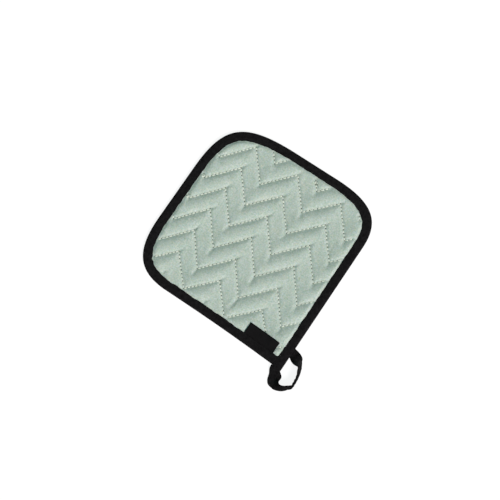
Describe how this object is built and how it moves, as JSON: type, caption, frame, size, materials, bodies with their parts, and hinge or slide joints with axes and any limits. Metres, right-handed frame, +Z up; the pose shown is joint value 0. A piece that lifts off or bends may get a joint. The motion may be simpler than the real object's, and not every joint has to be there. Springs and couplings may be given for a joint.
{
  "type": "pot holder",
  "caption": "Square quilted pot holder with chevron stitching, a bound edge, a hanging loop at a corner and a bare woven label.",
  "frame": {"origin": "middle of the pad's underside, on the surface it lies on", "axes": "+Z up through the pad's thickness; +X and +Y along its sides, with the hanging loop at the +X -Y corner"},
  "size_m": [0.2248, 0.229, 0.0119],
  "materials": {
    "quilted_cloth": "matte plain-weave cotton, quilted",
    "binding_tape": "matte folded cotton tape",
    "woven_label": "fine ribbed weave, bare"
  },
  "bodies": {
    "root": {"quilted_pad": "quilted_cloth", "edge_binding": "binding_tape", "hanging_loop": "binding_tape", "label": "woven_label"}
  },
  "joints": []
}
